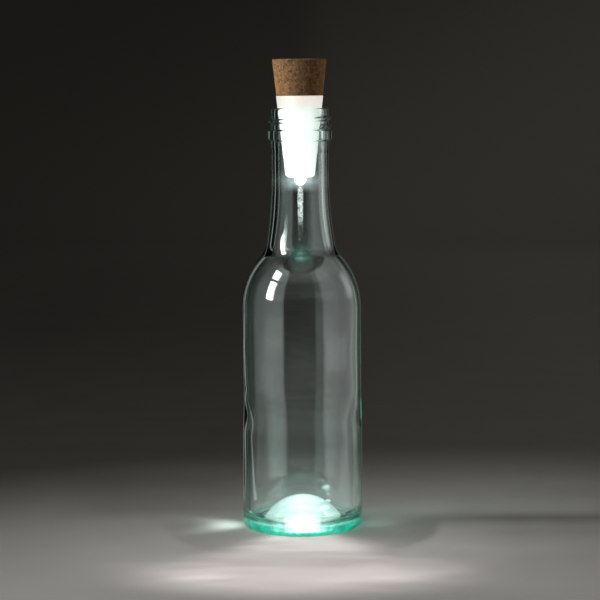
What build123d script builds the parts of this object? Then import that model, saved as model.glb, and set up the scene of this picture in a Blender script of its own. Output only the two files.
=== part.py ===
from build123d import *
import math
import os

# Cork bottle light: a small glass wine bottle with a rechargeable light in its mouth.
# All sizes are in millimetres. The origin is the middle of the bottle's foot and Z is
# up. The wide side of the USB plug lies along X, and the switch faces the -Y side.
# Heights of the light's pieces are measured up from the bottle's mouth.

# Bottle, outside
bottle_height = 184.0
lower_body_radius = 26.4
upper_body_radius = 26.1
heel_round = 2.9
bearing_width = 1.3
wave_height = 50.0
wave_length = 15.0
shoulder_height = 97.0
neck_foot_height = 122.0
neck_foot_radius = 15.4
neck_foot_blend = 6.0

# Bottle neck and its finish, whose heights are measured down from the mouth
neck_straight = 26.0
neck_radius = 12.45
collar_drop = 18.5
collar_slope = 0.8
collar_radius = 12.65
bead_drop = 9.4
bead_width = 4.7
bead_radius = 13.9
bead_round = 0.8
bead_root_round = 0.35
finish_radius = 12.5
lip_round = 1.0

# Bottle, inside
bore_radius = 9.55
bore_straight = 34.0
upper_wall = 2.1
lower_wall = 3.3
neck_foot_wall = 3.0
inner_foot_blend = 5.0
floor_thickness = 3.8
inner_heel_round = 4.6
punt_height = 10.0
punt_thickness = 3.7
punt_flank_radius = 14.5
punt_flank_height = 4.0
punt_root_round = 1.6
floor_ring = 1.3

# Plug of the light: one cone from the tip up to the top of the cork
taper_share = 0.1157
seat_clearance = 0.08
plug_depth = 30.0
shell_rise = 5.2
shell_wall = 1.3
shell_rim_wall = 0.95
tip_floor = 1.5
tip_round = 1.4
fit_clearance = 0.05

# Deck that closes the plug and carries the USB plug
deck_thickness = 1.5
boss_radius = 7.6
boss_height = 1.2
boss_edge = 0.3

# Cork cap and its liner
cork_rise = 21.0
cork_top_thickness = 1.4
cork_edge_round = 0.6
cap_gap = 0.15
liner_radius = 8.7
glue_gap = 0.1
liner_bore_clearance = 0.12
liner_recess = 2.6
liner_roof = 1.0
sleeve_clearance = 0.15
sleeve_wall = 1.2

# USB plug
usb_width = 12.0
usb_thickness = 4.5
usb_rise = 18.9
usb_foot = 0.6
usb_sheet = 0.3
usb_corner = 0.6
usb_lip = 0.2
usb_opening_clearance = 0.1
window_width = 2.5
window_height = 2.0
window_spread = 5.2
window_drop = 6.0
leg_height = 1.5
leg_low = 0.4
leg_reach = 0.5
tongue_clearance = 0.05
tongue_thickness = 1.84
tongue_recess = 0.5
tongue_block_height = 5.0
contact_width = 1.0
contact_thickness = 0.25
contact_pitch = 2.0
contact_outer_shift = 0.5
contact_recess = 1.2
contact_channel_clearance = 0.06
tail_drop = 1.1
tail_thickness = 0.3

# Circuit board and the parts on it
board_thickness = 0.8
board_gap = 0.03
board_top_gap = 0.2
board_depth = 23.0
board_edge_gap = 0.4
board_slot_clearance = 0.12
rib_thickness = 0.8
rib_clearance = 0.1
rib_depth = 2.3
chip_width = 4.9
chip_height = 3.9
chip_thickness = 1.5
chip_depth = 9.0
chip_standoff = 0.1
chip_edge = 0.25
chip_leg_pitch = 1.27
chip_leg_width = 0.4
chip_leg_thickness = 0.2
chip_leg_span = 6.0
chip_legs_a_side = 4
resistor_length = 1.6
resistor_width = 0.8
resistor_thickness = 0.45
resistor_depth = 4.6
resistor_pitch = 2.2
resistor_count = 3
capacitor_length = 2.0
capacitor_width = 1.25
capacitor_thickness = 0.9
capacitor_depth = 13.6
capacitor_spread = 3.4
indicator_length = 2.0
indicator_width = 1.25
indicator_thickness = 0.7
indicator_base = 0.3
indicator_depth = 17.0

# Battery pouch
cell_thickness = 4.0
cell_width = 10.0
cell_length = 17.0
cell_depth = 2.6
cell_round = 1.2
cell_seal = 0.5
cell_seal_thickness = 0.6
tape_thickness = 0.3
tape_width = 8.0
tape_margin = 1.5
tab_width = 1.3
tab_thickness = 0.15
tab_spread = 4.4
tab_foot = 0.5
tab_shift = 0.5

# Light-emitting diode in the tip
led_radius = 2.5
led_body_length = 7.6
led_flange_radius = 2.9
led_flange_thickness = 1.0
led_flat_depth = 0.4
led_proud = 3.5
led_hole_clearance = 0.1
led_sleeve_wall = 1.0
lead_thickness = 0.5
lead_spread = 2.54
lead_rise = 1.3
lead_overlap = 2.4

# Slide switch beside the USB plug
switch_travel = 1.5
switch_width = 6.6
switch_thickness = 1.5
switch_height = 2.6
switch_wall = 0.35
slider_width = 3.6
slider_clearance = 0.06
stem_width = 1.6
stem_thickness = 0.6
stem_rise = 1.2
knob_width = 2.6
knob_thickness = 1.3
knob_rise = 0.8
knob_gap = 0.1
knob_slot_clearance = 0.2
knob_edge_round = 0.2
knob_rib_depth = 0.25
knob_rib_width = 0.3
knob_ribs = 3
terminal_width = 0.5
terminal_thickness = 0.15
terminal_length = 0.9
terminal_pitch = 2.0
terminal_count = 3

# A cut runs past the faces that it goes through by this much
overrun = 0.5
full_turn = 360

# Heights and radii worked out from the sizes above
mouth = bottle_height
plug_tip = -plug_depth
deck_low = shell_rise - deck_thickness
deck_high = shell_rise + boss_height
cap_low = shell_rise + cap_gap
cork_bore_top = cork_rise - cork_top_thickness
usb_half_width = usb_width / 2
usb_half_thickness = usb_thickness / 2
board_front = -usb_half_thickness - board_gap
board_back = board_front - board_thickness
board_top = deck_low - board_top_gap
mount_back = board_back - board_gap
switch_high = board_top
switch_low = switch_high - switch_height
switch_back = mount_back - switch_thickness
switch_middle = mount_back - switch_thickness / 2
rest_shift = switch_travel / 2
led_seat = plug_tip - led_proud + led_body_length


def plug_radius(height):
    """Outer radius of the plug's cone at a height above the mouth."""
    return bore_radius - seat_clearance + taper_share * (height + lip_round)


def turned(outline):
    """Solid turned about the Z axis from a flat outline of radius and height."""
    return revolve(Plane.XZ * outline, Axis.Z, revolution_arc=full_turn)


def flat_outline(*points):
    """Closed flat outline through corners given as radius and height."""
    return make_face(Polyline(*points, close=True))


def rounded(outline, corner, radius):
    """The outline with one corner rounded."""
    spots = outline.vertices().sort_by_distance(Vector(*corner))
    return fillet(spots[0], radius)


def lifted(*points):
    """Corners with their heights moved from the mouth to the foot of the bottle."""
    return [(radius, mouth + height) for radius, height in points]


def block(x_low, x_high, y_low, y_high, z_low, z_high):
    """Plain block between two corners, its heights measured from the mouth."""
    size = (x_high - x_low, y_high - y_low, z_high - z_low)
    middle = ((x_low + x_high) / 2, (y_low + y_high) / 2, mouth + (z_low + z_high) / 2)
    return Pos(*middle) * Box(*size)


def centred(middle, width):
    """The two ends of a width about a middle."""
    return middle - width / 2, middle + width / 2


def disc(radius, z_low, z_high):
    """Upright cylinder on the Z axis, its heights measured from the mouth."""
    return turned(flat_outline(*lifted((0, z_low), (radius, z_low), (radius, z_high), (0, z_high))))


def group(pieces):
    """Several separate solids kept as one node."""
    return Compound([solid for piece in pieces for solid in piece.solids()])


def bottle():
    """Glass bottle: punted foot, settle wave, round shoulder, neck and screw finish."""
    up = (0, 1)
    down = (0, -1)
    out = (1, 0)
    bearing_outer = lower_body_radius - heel_round
    bearing_inner = bearing_outer - bearing_width
    wave_low = wave_height - wave_length / 2
    wave_high = wave_height + wave_length / 2
    neck_top = mouth - neck_straight
    collar_low = mouth - collar_drop
    collar_high = collar_low + collar_slope
    bead_high = mouth - bead_drop
    bead_low = bead_high - bead_width
    foot = (neck_foot_radius, neck_foot_height)
    inner_foot = (neck_foot_radius - neck_foot_wall, neck_foot_height)
    upper_inner = upper_body_radius - upper_wall
    lower_inner = lower_body_radius - lower_wall
    heel_corner = (lower_inner, floor_thickness)
    punt_foot = (lower_inner - inner_heel_round - floor_ring, floor_thickness)
    punt_top = punt_height + punt_thickness
    flank = (punt_flank_radius, punt_flank_height)
    bore_foot = (bore_radius, mouth - bore_straight)

    hollow = TangentArc((0, punt_height), flank, tangent=out)
    outside = [
        hollow,
        TangentArc(flank, (bearing_inner, 0), tangent=hollow % 1),
        Line((bearing_inner, 0), (bearing_outer, 0)),
        TangentArc((bearing_outer, 0), (lower_body_radius, heel_round), tangent=out),
        Line((lower_body_radius, heel_round), (lower_body_radius, wave_low)),
        Spline((lower_body_radius, wave_low), (upper_body_radius, wave_high), tangents=[up, up]),
        Line((upper_body_radius, wave_high), (upper_body_radius, shoulder_height)),
        TangentArc((upper_body_radius, shoulder_height), foot, tangent=up),
        TangentArc((neck_radius, neck_top), foot, tangent=down),
    ]
    finish = Polyline(
        (neck_radius, neck_top),
        (neck_radius, collar_low),
        (collar_radius, collar_high),
        (collar_radius, bead_low),
        (bead_radius, bead_low),
        (bead_radius, bead_high),
        (finish_radius, bead_high),
        (finish_radius, mouth),
        (bore_radius, mouth),
        bore_foot,
    )
    inside = [
        TangentArc(bore_foot, inner_foot, tangent=down),
        TangentArc((upper_inner, shoulder_height), inner_foot, tangent=up),
        Line((upper_inner, shoulder_height), (upper_inner, wave_high)),
        Spline((upper_inner, wave_high), (lower_inner, wave_low), tangents=[down, down]),
        Line((lower_inner, wave_low), heel_corner),
        Line(heel_corner, punt_foot),
        TangentArc((0, punt_top), punt_foot, tangent=out),
        Line((0, punt_top), (0, punt_height)),
    ]
    outline = make_face(outside + finish.edges() + inside)
    outline = rounded(outline, foot, neck_foot_blend)
    outline = rounded(outline, inner_foot, inner_foot_blend)
    outline = rounded(outline, heel_corner, inner_heel_round)
    outline = rounded(outline, punt_foot, punt_root_round)
    outline = rounded(outline, (bead_radius, bead_low), bead_round)
    outline = rounded(outline, (bead_radius, bead_high), bead_round)
    outline = rounded(outline, (collar_radius, bead_low), bead_root_round)
    outline = rounded(outline, (finish_radius, bead_high), bead_root_round)
    outline = rounded(outline, (finish_radius, mouth), lip_round)
    outline = rounded(outline, (bore_radius, mouth), lip_round)
    return turned(outline)


def body_shell():
    """Translucent tapered cup that seats in the neck, with ribs for the board."""
    tip_inside = plug_tip + tip_floor
    hole = led_radius + led_hole_clearance
    sleeve = hole + led_sleeve_wall
    sleeve_high = led_seat - fit_clearance
    rebate = plug_radius(shell_rise) - shell_rim_wall
    tip_corner = (plug_radius(plug_tip), mouth + plug_tip)
    outline = flat_outline(
        *lifted(
            (plug_radius(shell_rise), shell_rise),
            (plug_radius(plug_tip), plug_tip),
            (hole, plug_tip),
            (hole, sleeve_high),
            (sleeve, sleeve_high),
            (sleeve, tip_inside),
            (plug_radius(tip_inside) - shell_wall, tip_inside),
            (plug_radius(deck_low) - shell_wall, deck_low),
            (rebate, deck_low),
            (rebate, shell_rise),
        )
    )
    cup = turned(rounded(outline, tip_corner, tip_round))
    wall_middle = turned(
        flat_outline(
            *lifted(
                (0, plug_tip),
                (plug_radius(plug_tip) - shell_wall / 2, plug_tip),
                (plug_radius(deck_low) - shell_wall / 2, deck_low),
                (0, deck_low),
            )
        )
    )
    rib_inner = usb_half_width + rib_clearance
    rib_outer = plug_radius(shell_rise)
    for y_low in (board_back - rib_clearance - rib_thickness, board_front + rib_clearance):
        rib = block(rib_inner, rib_outer, y_low, y_low + rib_thickness, -rib_depth, deck_low)
        rib = rib & wall_middle
        cup = cup + rib + mirror(rib, Plane.YZ)
    return cup


def deck():
    """Cover of the plug with a boss for the cap, a USB opening and the knob's slot."""
    radius = plug_radius(shell_rise) - shell_rim_wall - fit_clearance
    outline = flat_outline(
        *lifted(
            (0, deck_low + fit_clearance),
            (radius, deck_low + fit_clearance),
            (radius, shell_rise),
            (boss_radius, shell_rise),
            (boss_radius, deck_high - boss_edge),
            (boss_radius - boss_edge, deck_high),
            (0, deck_high),
        )
    )
    cover = turned(outline)
    opening_x = usb_half_width + usb_opening_clearance
    opening_y = usb_half_thickness + usb_opening_clearance
    low = deck_low - overrun
    high = deck_high + overrun
    cover = cover - block(-opening_x, opening_x, -opening_y, opening_y, low, high)
    slot_x = (knob_width + switch_travel) / 2 + knob_slot_clearance
    slot_y = centred(switch_middle, knob_thickness + knob_slot_clearance)
    return cover - block(-slot_x, slot_x, *slot_y, low, high)


def usb_shell():
    """Folded sheet shell of the USB plug with four windows and two board legs."""
    skin = block(
        -usb_half_width, usb_half_width, -usb_half_thickness, usb_half_thickness, -usb_foot, usb_rise
    )
    skin = fillet(skin.edges().filter_by(Axis.Z), usb_corner)
    skin = chamfer(skin.faces().sort_by(Axis.Z)[-1].edges(), usb_lip)
    inner_x = usb_half_width - usb_sheet
    inner_y = usb_half_thickness - usb_sheet
    hollow = block(-inner_x, inner_x, -inner_y, inner_y, -usb_foot - overrun, usb_rise + overrun)
    skin = skin - fillet(hollow.edges().filter_by(Axis.Z), usb_corner - usb_sheet)
    window_z = centred(usb_rise - window_drop, window_height)
    cut_y = usb_half_thickness + overrun
    for side in (-1, 1):
        window_x = centred(side * window_spread / 2, window_width)
        skin = skin - block(*window_x, -cut_y, cut_y, *window_z)
        leg_x = sorted((side * usb_half_width, side * inner_x))
        leg_y = board_back - leg_reach
        skin = skin + block(*leg_x, leg_y, -usb_half_thickness + usb_corner, leg_low, leg_low + leg_height)
    return skin


def contact_places():
    """Middles of the four contacts along X: the outer two stand a little wider."""
    inner = contact_pitch / 2
    outer = inner + contact_pitch + contact_outer_shift
    return (-outer, -inner, inner, outer)


def contact_range():
    """The contacts' low and high faces along Y, on top of the tongue."""
    low = -usb_half_thickness + usb_sheet + tongue_clearance + tongue_thickness + contact_channel_clearance
    return low, low + contact_thickness


def usb_tongue():
    """Plastic tongue of the USB plug and the block that fills the shell behind it."""
    half_x = usb_half_width - usb_sheet - tongue_clearance
    low_y = -usb_half_thickness + usb_sheet + tongue_clearance
    block_high = -usb_foot + tongue_block_height
    tongue_high = usb_rise - tongue_recess
    tongue = block(-half_x, half_x, low_y, low_y + tongue_thickness, -usb_foot, tongue_high)
    tongue = tongue + block(-half_x, half_x, low_y, -low_y, -usb_foot, block_high)
    tongue = fillet(tongue.edges().filter_by(Axis.Z), usb_corner - usb_sheet)
    contact_low, contact_high = contact_range()
    for place in contact_places():
        channel_x = centred(place, contact_width + 2 * contact_channel_clearance)
        low = contact_low - contact_channel_clearance
        high = contact_high + contact_channel_clearance
        tongue = tongue - block(*channel_x, low, high, -usb_foot - overrun, block_high + overrun)
    return tongue


def usb_contacts():
    """Four flat contacts, each with a tail bent over to the board."""
    low_y, high_y = contact_range()
    tail_low = -usb_foot - tail_drop
    high = usb_rise - tongue_recess - contact_recess
    pieces = []
    for place in contact_places():
        strip_x = centred(place, contact_width)
        strip = block(*strip_x, low_y, high_y, tail_low, high)
        tail = block(*strip_x, board_front + board_gap, high_y, tail_low, tail_low + tail_thickness)
        pieces.append(strip + tail)
    return group(pieces)


def board_half_width(height):
    """Half the board's width where it stands at a height above the mouth."""
    reach = plug_radius(height) - shell_wall
    return math.sqrt(reach**2 - board_back**2) - board_edge_gap


def circuit_board():
    """Tapered board that fills the plug, with a slot at each edge for the shell's legs."""
    low = -board_depth
    top_half = board_half_width(board_top)
    low_half = board_half_width(low)
    corners = lifted((-low_half, low), (low_half, low), (top_half, board_top), (-top_half, board_top))
    outline = make_face(Polyline(*corners, close=True))
    face = Plane.XZ.offset(-board_front) * outline
    board = extrude(face, amount=board_thickness, dir=(0, -1, 0))
    slot_z = (leg_low - board_slot_clearance, leg_low + leg_height + board_slot_clearance)
    for side in (-1, 1):
        slot_x = centred(side * (usb_half_width - usb_sheet / 2), usb_sheet + 2 * board_slot_clearance)
        board = board - block(*slot_x, board_back - overrun, board_front + overrun, *slot_z)
    return board


def charger_chip():
    """Moulded chip body with one bevelled upright edge."""
    back = mount_back - chip_standoff
    z_range = centred(-chip_depth, chip_width)
    half = chip_height / 2
    body = block(-half, half, back - chip_thickness, back, *z_range)
    back_face = body.faces().sort_by(Axis.Y)[0]
    return chamfer(back_face.edges().filter_by(Axis.Z), chip_edge)


def chip_legs():
    """Eight bent legs, four on each side of the chip."""
    half_body = chip_height / 2
    half_span = chip_leg_span / 2
    shoulder_low = mount_back - chip_standoff - (chip_thickness + chip_leg_thickness) / 2
    pieces = []
    for number in range(chip_legs_a_side):
        place = -chip_depth + (number - (chip_legs_a_side - 1) / 2) * chip_leg_pitch
        z_range = centred(place, chip_leg_width)
        knee = (half_body + half_span) / 2
        arm = block(half_body + fit_clearance, knee, shoulder_low, shoulder_low + chip_leg_thickness, *z_range)
        post = block(knee - chip_leg_thickness, knee, shoulder_low, mount_back, *z_range)
        foot = block(knee - chip_leg_thickness, half_span, mount_back - chip_leg_thickness, mount_back, *z_range)
        leg = arm + post + foot
        pieces += [leg, mirror(leg, Plane.YZ)]
    return group(pieces)


def resistors():
    """Row of chip resistors above the charger chip."""
    pieces = []
    for number in range(resistor_count):
        middle = (number - (resistor_count - 1) / 2) * resistor_pitch
        x_range = centred(middle, resistor_width)
        z_range = centred(-resistor_depth, resistor_length)
        pieces.append(block(*x_range, mount_back - resistor_thickness, mount_back, *z_range))
    return group(pieces)


def capacitors():
    """Two chip capacitors below the charger chip."""
    pieces = []
    for side in (-1, 1):
        x_range = centred(side * capacitor_spread / 2, capacitor_width)
        z_range = centred(-capacitor_depth, capacitor_length)
        pieces.append(block(*x_range, mount_back - capacitor_thickness, mount_back, *z_range))
    return group(pieces)


def charge_indicator():
    """Small light that shows charging through the plug's wall: a base and a dome."""
    x_range = centred(0, indicator_length)
    z_range = centred(-indicator_depth, indicator_width)
    base = block(*x_range, mount_back - indicator_base, mount_back, *z_range)
    lens_x = centred(0, indicator_length - 2 * indicator_base)
    return base + block(*lens_x, mount_back - indicator_thickness, mount_back, *z_range)


def cell_front():
    """Y of the battery's face towards the board."""
    return board_front + tape_thickness + 2 * board_gap


def battery_cell():
    """Pouch battery with rounded sides and a folded seal on its top edge."""
    low_y = cell_front()
    x_range = centred(0, cell_width)
    cell_low = -cell_depth - cell_length
    pouch = block(*x_range, low_y, low_y + cell_thickness, cell_low, -cell_depth - cell_seal)
    pouch = fillet(pouch.edges().filter_by(Axis.Z), cell_round)
    seal_y = centred(low_y + cell_thickness / 2, cell_seal_thickness)
    seal_x = centred(0, cell_width - 2 * cell_round)
    return pouch + block(*seal_x, *seal_y, -cell_depth - 2 * cell_seal, -cell_depth)


def battery_tabs():
    """Two metal strips from the battery's top edge to the board."""
    low_z = -cell_depth + fit_clearance
    high_z = low_z + tab_thickness
    near_y = board_front + board_gap
    far_y = cell_front() + cell_thickness / 2
    pieces = []
    for side in (-1, 1):
        x_range = centred(side * tab_spread / 2, tab_width)
        strip = block(*x_range, near_y, far_y, low_z, high_z)
        foot = block(*x_range, near_y, near_y + tab_thickness, low_z, high_z + tab_foot)
        pieces.append(strip + foot)
    return group(pieces)


def foam_tape():
    """Double-sided foam tape that holds the battery to the board."""
    low_y = board_front + board_gap
    x_range = centred(0, tape_width)
    low_z = -cell_depth - cell_length + tape_margin
    return block(*x_range, low_y, low_y + tape_thickness, low_z, -cell_depth - tape_margin)


def led_lens():
    """Round LED that stands out of the tip, with its flange on the shell's sleeve."""
    barrel_low = led_seat - led_body_length + led_radius
    flange_high = led_seat + led_flange_thickness
    low_centre = mouth + barrel_low
    outline = make_face(
        [
            TangentArc((led_radius, low_centre), (0, low_centre - led_radius), tangent=(0, -1)),
            *Polyline(
                (led_radius, low_centre),
                (led_radius, mouth + led_seat),
                (led_flange_radius, mouth + led_seat),
                (led_flange_radius, mouth + flange_high),
                (0, mouth + flange_high),
                (0, low_centre - led_radius),
            ).edges(),
        ]
    )
    lens = turned(outline)
    flat_x = led_flange_radius - led_flat_depth
    far = led_flange_radius + overrun
    return lens - block(flat_x, far, -far, far, led_seat, flange_high + overrun)


def led_leads():
    """Two bent legs from the LED to the board."""
    start = led_seat + led_flange_thickness + fit_clearance
    knee = start + lead_rise
    board_y = board_front + board_gap
    half = lead_thickness / 2
    pieces = []
    for side in (-1, 1):
        x_range = centred(side * lead_spread / 2, lead_thickness)
        lower = block(*x_range, -half, half, start, knee)
        across = block(*x_range, board_y, half, knee - lead_thickness, knee)
        upper = block(*x_range, board_y, board_y + lead_thickness, knee - lead_thickness, knee + lead_overlap)
        pieces.append(lower + across + upper)
    return group(pieces)


def slider_half_depth():
    """Half the slider's thickness, free in the switch housing."""
    return switch_thickness / 2 - switch_wall - slider_clearance


def switch_housing():
    """Hollow housing of the slide switch with a slot for the slider's stem."""
    half_x = switch_width / 2
    body = block(-half_x, half_x, switch_back, mount_back, switch_low, switch_high)
    room_x = (slider_width + switch_travel) / 2 + slider_clearance
    room_y = centred(switch_middle, switch_thickness - 2 * switch_wall)
    room = block(-room_x, room_x, *room_y, switch_low + switch_wall, switch_high - switch_wall)
    slot_x = (stem_width + switch_travel) / 2 + slider_clearance
    slot_y = centred(switch_middle, stem_thickness + 2 * slider_clearance)
    slot = block(-slot_x, slot_x, *slot_y, switch_high - switch_wall - overrun, switch_high + overrun)
    return body - room - slot


def switch_terminals():
    """Solder legs of the switch along the board's face."""
    pieces = []
    for number in range(terminal_count):
        middle = (number - (terminal_count - 1) / 2) * terminal_pitch
        x_range = centred(middle, terminal_width)
        low_y = mount_back - terminal_thickness
        high_z = switch_low - fit_clearance
        pieces.append(block(*x_range, low_y, mount_back, high_z - terminal_length, high_z))
    return group(pieces)


def switch_actuator():
    """Slider inside the switch, with the stem that carries the knob."""
    low = switch_low + switch_wall + slider_clearance
    high = switch_high - switch_wall - slider_clearance
    half_y = slider_half_depth()
    slider_x = centred(rest_shift, slider_width)
    slider = block(*slider_x, switch_middle - half_y, switch_middle + half_y, low, high)
    stem_x = centred(rest_shift, stem_width)
    stem_y = centred(switch_middle, stem_thickness)
    return slider + block(*stem_x, *stem_y, high, switch_high + stem_rise)


def switch_knob():
    """Ribbed knob on the slider's stem, reached through the deck."""
    low = switch_high + knob_gap
    high = deck_high + knob_rise
    knob_x = centred(rest_shift, knob_width)
    knob_y = centred(switch_middle, knob_thickness)
    knob = block(*knob_x, *knob_y, low, high)
    knob = fillet(knob.edges().filter_by(Axis.Z), knob_edge_round)
    socket_x = centred(rest_shift, stem_width + 2 * fit_clearance)
    socket_y = centred(switch_middle, stem_thickness + 2 * fit_clearance)
    socket_high = switch_high + stem_rise + fit_clearance
    knob = knob - block(*socket_x, *socket_y, low - overrun, socket_high)
    groove_pitch = knob_width / (knob_ribs + 1)
    for number in range(knob_ribs):
        middle = rest_shift + (number - (knob_ribs - 1) / 2) * groove_pitch
        groove_x = centred(middle, knob_rib_width)
        far = knob_thickness / 2 + overrun
        groove_y = (switch_middle - far, switch_middle + far)
        knob = knob - block(*groove_x, *groove_y, high - knob_rib_depth, high + overrun)
    return knob


def cork_cap():
    """Cork cap: carries the plug's cone on up and is bored for its liner."""
    bore = liner_radius + glue_gap
    top_corner = (plug_radius(cork_rise), mouth + cork_rise)
    outline = flat_outline(
        *lifted(
            (0, cork_rise),
            (plug_radius(cork_rise), cork_rise),
            (plug_radius(cap_low), cap_low),
            (bore, cap_low),
            (bore, cork_bore_top),
            (0, cork_bore_top),
        )
    )
    return turned(rounded(outline, top_corner, cork_edge_round))


def cap_liner():
    """Plastic liner glued in the cork, with a sleeve that slides over the USB plug."""
    high = cork_bore_top - glue_gap
    bore = boss_radius + liner_bore_clearance
    recess_high = cap_low + liner_recess
    liner = disc(liner_radius, cap_low, high)
    liner = liner - disc(bore, cap_low - overrun, recess_high)
    half_x = usb_half_width + sleeve_clearance
    half_y = usb_half_thickness + sleeve_clearance
    liner = liner - block(-half_x, half_x, -half_y, half_y, cap_low, high + overrun)
    core = disc(bore, recess_high - overrun, high - liner_roof)
    wide = half_y + sleeve_wall
    core = core - block(-liner_radius, liner_radius, -wide, wide, cap_low, high)
    return liner - core


nodes = {
    "bottle": bottle,
    "body_shell": body_shell,
    "deck": deck,
    "usb_shell": usb_shell,
    "usb_tongue": usb_tongue,
    "usb_contacts": usb_contacts,
    "circuit_board": circuit_board,
    "charger_chip": charger_chip,
    "chip_legs": chip_legs,
    "resistors": resistors,
    "capacitors": capacitors,
    "charge_indicator": charge_indicator,
    "battery_cell": battery_cell,
    "battery_tabs": battery_tabs,
    "foam_tape": foam_tape,
    "led_lens": led_lens,
    "led_leads": led_leads,
    "switch_housing": switch_housing,
    "switch_terminals": switch_terminals,
    "switch_actuator": switch_actuator,
    "switch_knob": switch_knob,
    "cork_cap": cork_cap,
    "cap_liner": cap_liner,
}

os.makedirs("parts", exist_ok=True)
for name, make in nodes.items():
    export_step(make(), f"parts/{name}.step")
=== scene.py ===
import math

import bpy
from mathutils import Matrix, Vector


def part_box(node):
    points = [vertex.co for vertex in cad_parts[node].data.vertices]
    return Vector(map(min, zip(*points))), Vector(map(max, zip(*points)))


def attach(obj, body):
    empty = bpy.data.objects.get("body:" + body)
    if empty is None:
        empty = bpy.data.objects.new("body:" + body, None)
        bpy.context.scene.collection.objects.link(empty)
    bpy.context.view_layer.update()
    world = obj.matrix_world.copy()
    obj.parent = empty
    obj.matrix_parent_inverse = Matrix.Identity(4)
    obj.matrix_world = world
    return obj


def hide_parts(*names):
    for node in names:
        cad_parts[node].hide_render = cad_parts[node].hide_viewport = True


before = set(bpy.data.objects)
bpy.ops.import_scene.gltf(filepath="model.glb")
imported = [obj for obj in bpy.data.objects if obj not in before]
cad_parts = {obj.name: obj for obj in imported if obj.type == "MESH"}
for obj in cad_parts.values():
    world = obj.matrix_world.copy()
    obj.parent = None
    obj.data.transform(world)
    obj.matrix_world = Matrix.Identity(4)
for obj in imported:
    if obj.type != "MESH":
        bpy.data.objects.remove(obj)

bl_info = {
    "name": "Cork bottle light",
    "version": (1, 0, 0),
    "blender": (4, 5, 0),
    "location": "3D View > Sidebar > Bottle light",
    "description": "Glass bottle with a glowing cork light in its mouth, around its packed model",
    "category": "Object",
}

MM = 0.001
FULL_TURN = 2 * math.pi
SHARP_ANGLE = math.radians(40)
EASED_ANGLE = math.radians(35)
DOUBLES = 0.002 * MM
UP = (0, 1)
DOWN = (0, -1)
OUT = (1, 0)
IN = (-1, 0)

bottle_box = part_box("bottle")
shell_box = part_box("body_shell")
cork_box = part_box("cork_cap")
lens_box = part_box("led_lens")
MOUTH = bottle_box[1].z
BODY_RADIUS = bottle_box[1].x
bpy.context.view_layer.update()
FINISH_RADIUS = 12.5 * MM
MIDDLE = Vector((0, 0, 0.1))


def mm(*values):
    """Lengths in millimetres, as metres."""
    return tuple(value * MM for value in values)


# Light that the glass shows, by distance from the axis or by how far the surface turns away.
BLACK = (0, 0, 0)
MOUND_LIGHT = (
    (0.0, (1.0, 1.05, 1.05)), (0.40, (0.80, 0.88, 0.87)), (0.66, (0.42, 0.56, 0.55)),
    (0.84, (0.16, 0.30, 0.28)), (0.91, (0.01, 0.14, 0.10)), (1.0, BLACK))
VEIN_LIGHT = ((0.3, (0.75, 0.8, 0.8)), (0.62, (1.2, 1.2, 1.2)))
HOLLOW_LIGHT = (
    (0.0, (0.9, 1.0, 1.0)), (0.28, (0.40, 0.52, 0.52)), (0.50, (0.02, 0.12, 0.09)), (1.0, (0.0, 0.03, 0.02)))
RING_LIGHT = (
    (0.0, (1.8, 1.9, 1.85)), (0.05, (1.3, 1.6, 1.55)), (0.11, (0.22, 0.65, 0.60)),
    (0.20, (0.0, 0.25, 0.17)), (1.0, (0.0, 0.07, 0.05)))
# Colour of the thick foot glass: its own tint, with painted shade that darkens it where the foot turns edge
# on.
RING_TINT_AND_SHADE = (
    (0.0, (0.80, 1.0, 0.98)), (0.10, (0.55, 0.95, 0.90)), (0.22, (0.02, 0.52, 0.40)),
    (1.0, (0.005, 0.40, 0.28)))
SHADOW_TINT = ((0.0, (0.93, 0.905, 0.91)), (0.62, (0.93, 0.905, 0.91)), (0.92, (0.45, 0.44, 0.44)))

# Four heights each: where a glow in the glass starts, is full, starts to fade and ends.
HAZE_HEIGHTS = mm(148, 152, 153, 157)
STREAK_HEIGHTS = mm(133, 138, 149, 151)
SPARK_HEIGHTS = mm(120, 124, 133, 138)
TEAL_GLOW_HEIGHTS = mm(115, 120, 121, 126)
SPILL_HEIGHTS = mm(47, 49, 56, 58)

# Brightness of the light tent by degrees round the bottle, to the left of the camera's side.
TENT_LEVELS = (
    (-160, 0), (-159, 0.10), (-155, 0.10), (-154, 0), (-135, 0), (-134, 0.20), (-120, 0.32), (-105, 0.56),
    (-80, 0.86), (-41, 0.80), (-40, 0.06), (33, 0.06), (34, 0.46), (60, 0.46), (76, 0.38), (96, 0.30),
    (97, 0), (138, 0), (139.5, 0.34), (144.5, 0.34), (146, 0))

# Brightness of the LED's beam from its middle to its rim, and from straight ahead round to the back.
BEAM_RIM = (
    (0.0, 0.38), (0.31, 0.35), (0.42, 0.27), (0.48, 0.29), (0.54, 0.40), (0.60, 0.46), (0.67, 0.60),
    (0.71, 0.50), (0.75, 0.32), (0.81, 0.19), (0.87, 0.06), (0.92, 0))
BEAM_AHEAD = ((0.0, 1), (0.043, 0.98), (0.085, 0.50), (0.13, 0.14), (0.18, 0.07), (0.5, 0.01), (1.0, 0))


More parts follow.
